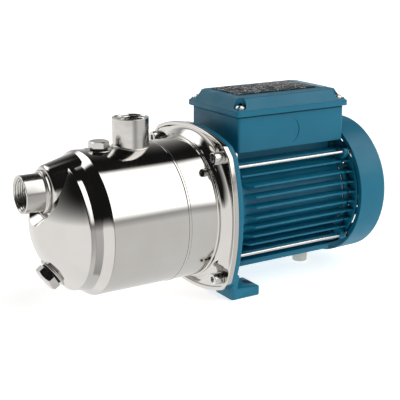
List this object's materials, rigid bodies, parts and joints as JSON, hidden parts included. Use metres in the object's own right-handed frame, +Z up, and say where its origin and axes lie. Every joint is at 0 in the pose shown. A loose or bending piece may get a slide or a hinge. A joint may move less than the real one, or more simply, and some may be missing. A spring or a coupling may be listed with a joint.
{
  "type": "shallow well jet pump",
  "caption": "Close-coupled self-priming jet pump: polished stainless casing with threaded suction and discharge ports, finned motor, terminal box and foot.",
  "frame": {"origin": "on the floor plane under the feet, at the middle of the pump's length and on its vertical centre plane", "axes": "+X along the shaft from the suction port to the fan cover, +Z up, +Y to the side of the cable gland"},
  "size_m": [0.4154, 0.182, 0.213],
  "materials": {
    "polished_stainless": "mirror-polished pressed stainless steel",
    "stainless": "plain stainless steel",
    "zinc_screws": "bright zinc-plated steel",
    "blue_paint": "semi-gloss petrol-blue paint",
    "black_plastic": "moulded black plastic",
    "rubber_seals": "black rubber",
    "ivory_plastic": "ivory moulded plastic",
    "shaft_steel": "ground steel",
    "bearing_steel": "ground bearing steel",
    "laminations": "stacked electrical steel",
    "copper_winding": "enamelled copper wire",
    "rotor_alloy": "steel laminations with cast aluminium end rings",
    "seal_carbon": "carbon face in a metal holder",
    "seal_ceramic": "white ceramic",
    "label_black": "printed black film",
    "brown_resin": "moulded terminal resin",
    "capacitor_can": "plastic capacitor can"
  },
  "bodies": {
    "pump_body": {"casing_shell": "polished_stainless", "casing_flange": "polished_stainless", "suction_port": "stainless", "discharge_port": "stainless", "priming_socket": "stainless", "drain_socket": "stainless", "casing_cover": "stainless", "ejector_nozzle": "stainless", "wave_spring": "stainless", "flange_screw_top_near": "zinc_screws", "flange_screw_top_far": "zinc_screws", "flange_screw_bottom_far": "zinc_screws", "flange_screw_bottom_near": "zinc_screws", "tie_rod_top_near": "zinc_screws", "tie_rod_top_far": "zinc_screws", "tie_rod_bottom_far": "zinc_screws", "tie_rod_bottom_near": "zinc_screws", "lid_screw_front_near": "zinc_screws", "lid_screw_front_far": "zinc_screws", "lid_screw_rear_far": "zinc_screws", "lid_screw_rear_near": "zinc_screws", "motor_bracket": "blue_paint", "motor_frame": "blue_paint", "rear_shield": "blue_paint", "fan_cover": "blue_paint", "terminal_box": "blue_paint", "terminal_box_lid": "blue_paint", "ejector_body": "black_plastic", "stage_diffuser": "black_plastic", "cable_gland": "black_plastic", "cable_gland_nut": "black_plastic", "casing_o_ring": "rubber_seals", "terminal_box_gasket": "rubber_seals", "support_foot": "ivory_plastic", "front_bearing_outer": "bearing_steel", "rear_bearing_outer": "bearing_steel", "stator_core": "laminations", "winding_front": "copper_winding", "winding_rear": "copper_winding", "seal_seat": "seal_ceramic", "rating_plate": "label_black", "terminal_board": "brown_resin", "run_capacitor": "capacitor_can"},
    "rotor": {"shaft": "shaft_steel", "impeller": "stainless", "impeller_key": "shaft_steel", "impeller_nut": "stainless", "seal_head": "seal_carbon", "seal_spring": "stainless", "shaft_deflector": "rubber_seals", "rotor_core": "rotor_alloy", "front_bearing_inner": "bearing_steel", "rear_bearing_inner": "bearing_steel", "fan": "black_plastic"},
    "front_balls": {"front_bearing_cage": "bearing_steel"},
    "rear_balls": {"rear_bearing_cage": "bearing_steel"},
    "priming_seal": {"priming_washer": "rubber_seals"},
    "priming_screw": {"priming_plug": "stainless"},
    "drain_seal": {"drain_washer": "rubber_seals"},
    "drain_screw": {"drain_plug": "stainless"}
  },
  "joints": [
    {"name": "rotor_spin", "type": "hinge", "parent": "pump_body", "child": "rotor", "pos_m": [0.01498, 0, 0.092], "axis": [1, 0, 0], "continuous": true},
    {"name": "front_balls_spin", "type": "hinge", "parent": "pump_body", "child": "front_balls", "pos_m": [0.02098, 0, 0.092], "axis": [1, 0, 0], "continuous": true},
    {"name": "rear_balls_spin", "type": "hinge", "parent": "pump_body", "child": "rear_balls", "pos_m": [0.15097, 0, 0.092], "axis": [1, 0, 0], "continuous": true},
    {"name": "priming_plug_lift", "type": "slide", "parent": "pump_body", "child": "priming_seal", "axis": [0, 0, 1], "range_m": [0, 0.0107]},
    {"name": "priming_plug_turn", "type": "hinge", "parent": "priming_seal", "child": "priming_screw", "pos_m": [-0.12003, 0, 0.1672], "axis": [0, 0, 1], "range_deg": [0, 2880]},
    {"name": "drain_plug_lift", "type": "slide", "parent": "pump_body", "child": "drain_seal", "axis": [-0.8209, 0, -0.5711], "range_m": [0, 0.0107]},
    {"name": "drain_plug_turn", "type": "hinge", "parent": "drain_seal", "child": "drain_screw", "pos_m": [-0.17759, 0, 0.043], "axis": [-0.8209, 0, -0.5711], "range_deg": [0, 2880]}
  ],
  "couplings": [
    {"joint": "front_balls_spin", "follows": "rotor_spin", "ratio": 0.404},
    {"joint": "rear_balls_spin", "follows": "rotor_spin", "ratio": 0.404},
    {"joint": "priming_plug_lift", "follows": "priming_plug_turn", "m_per_rad": 0.00021279},
    {"joint": "drain_plug_lift", "follows": "drain_plug_turn", "m_per_rad": 0.00021279}
  ]
}
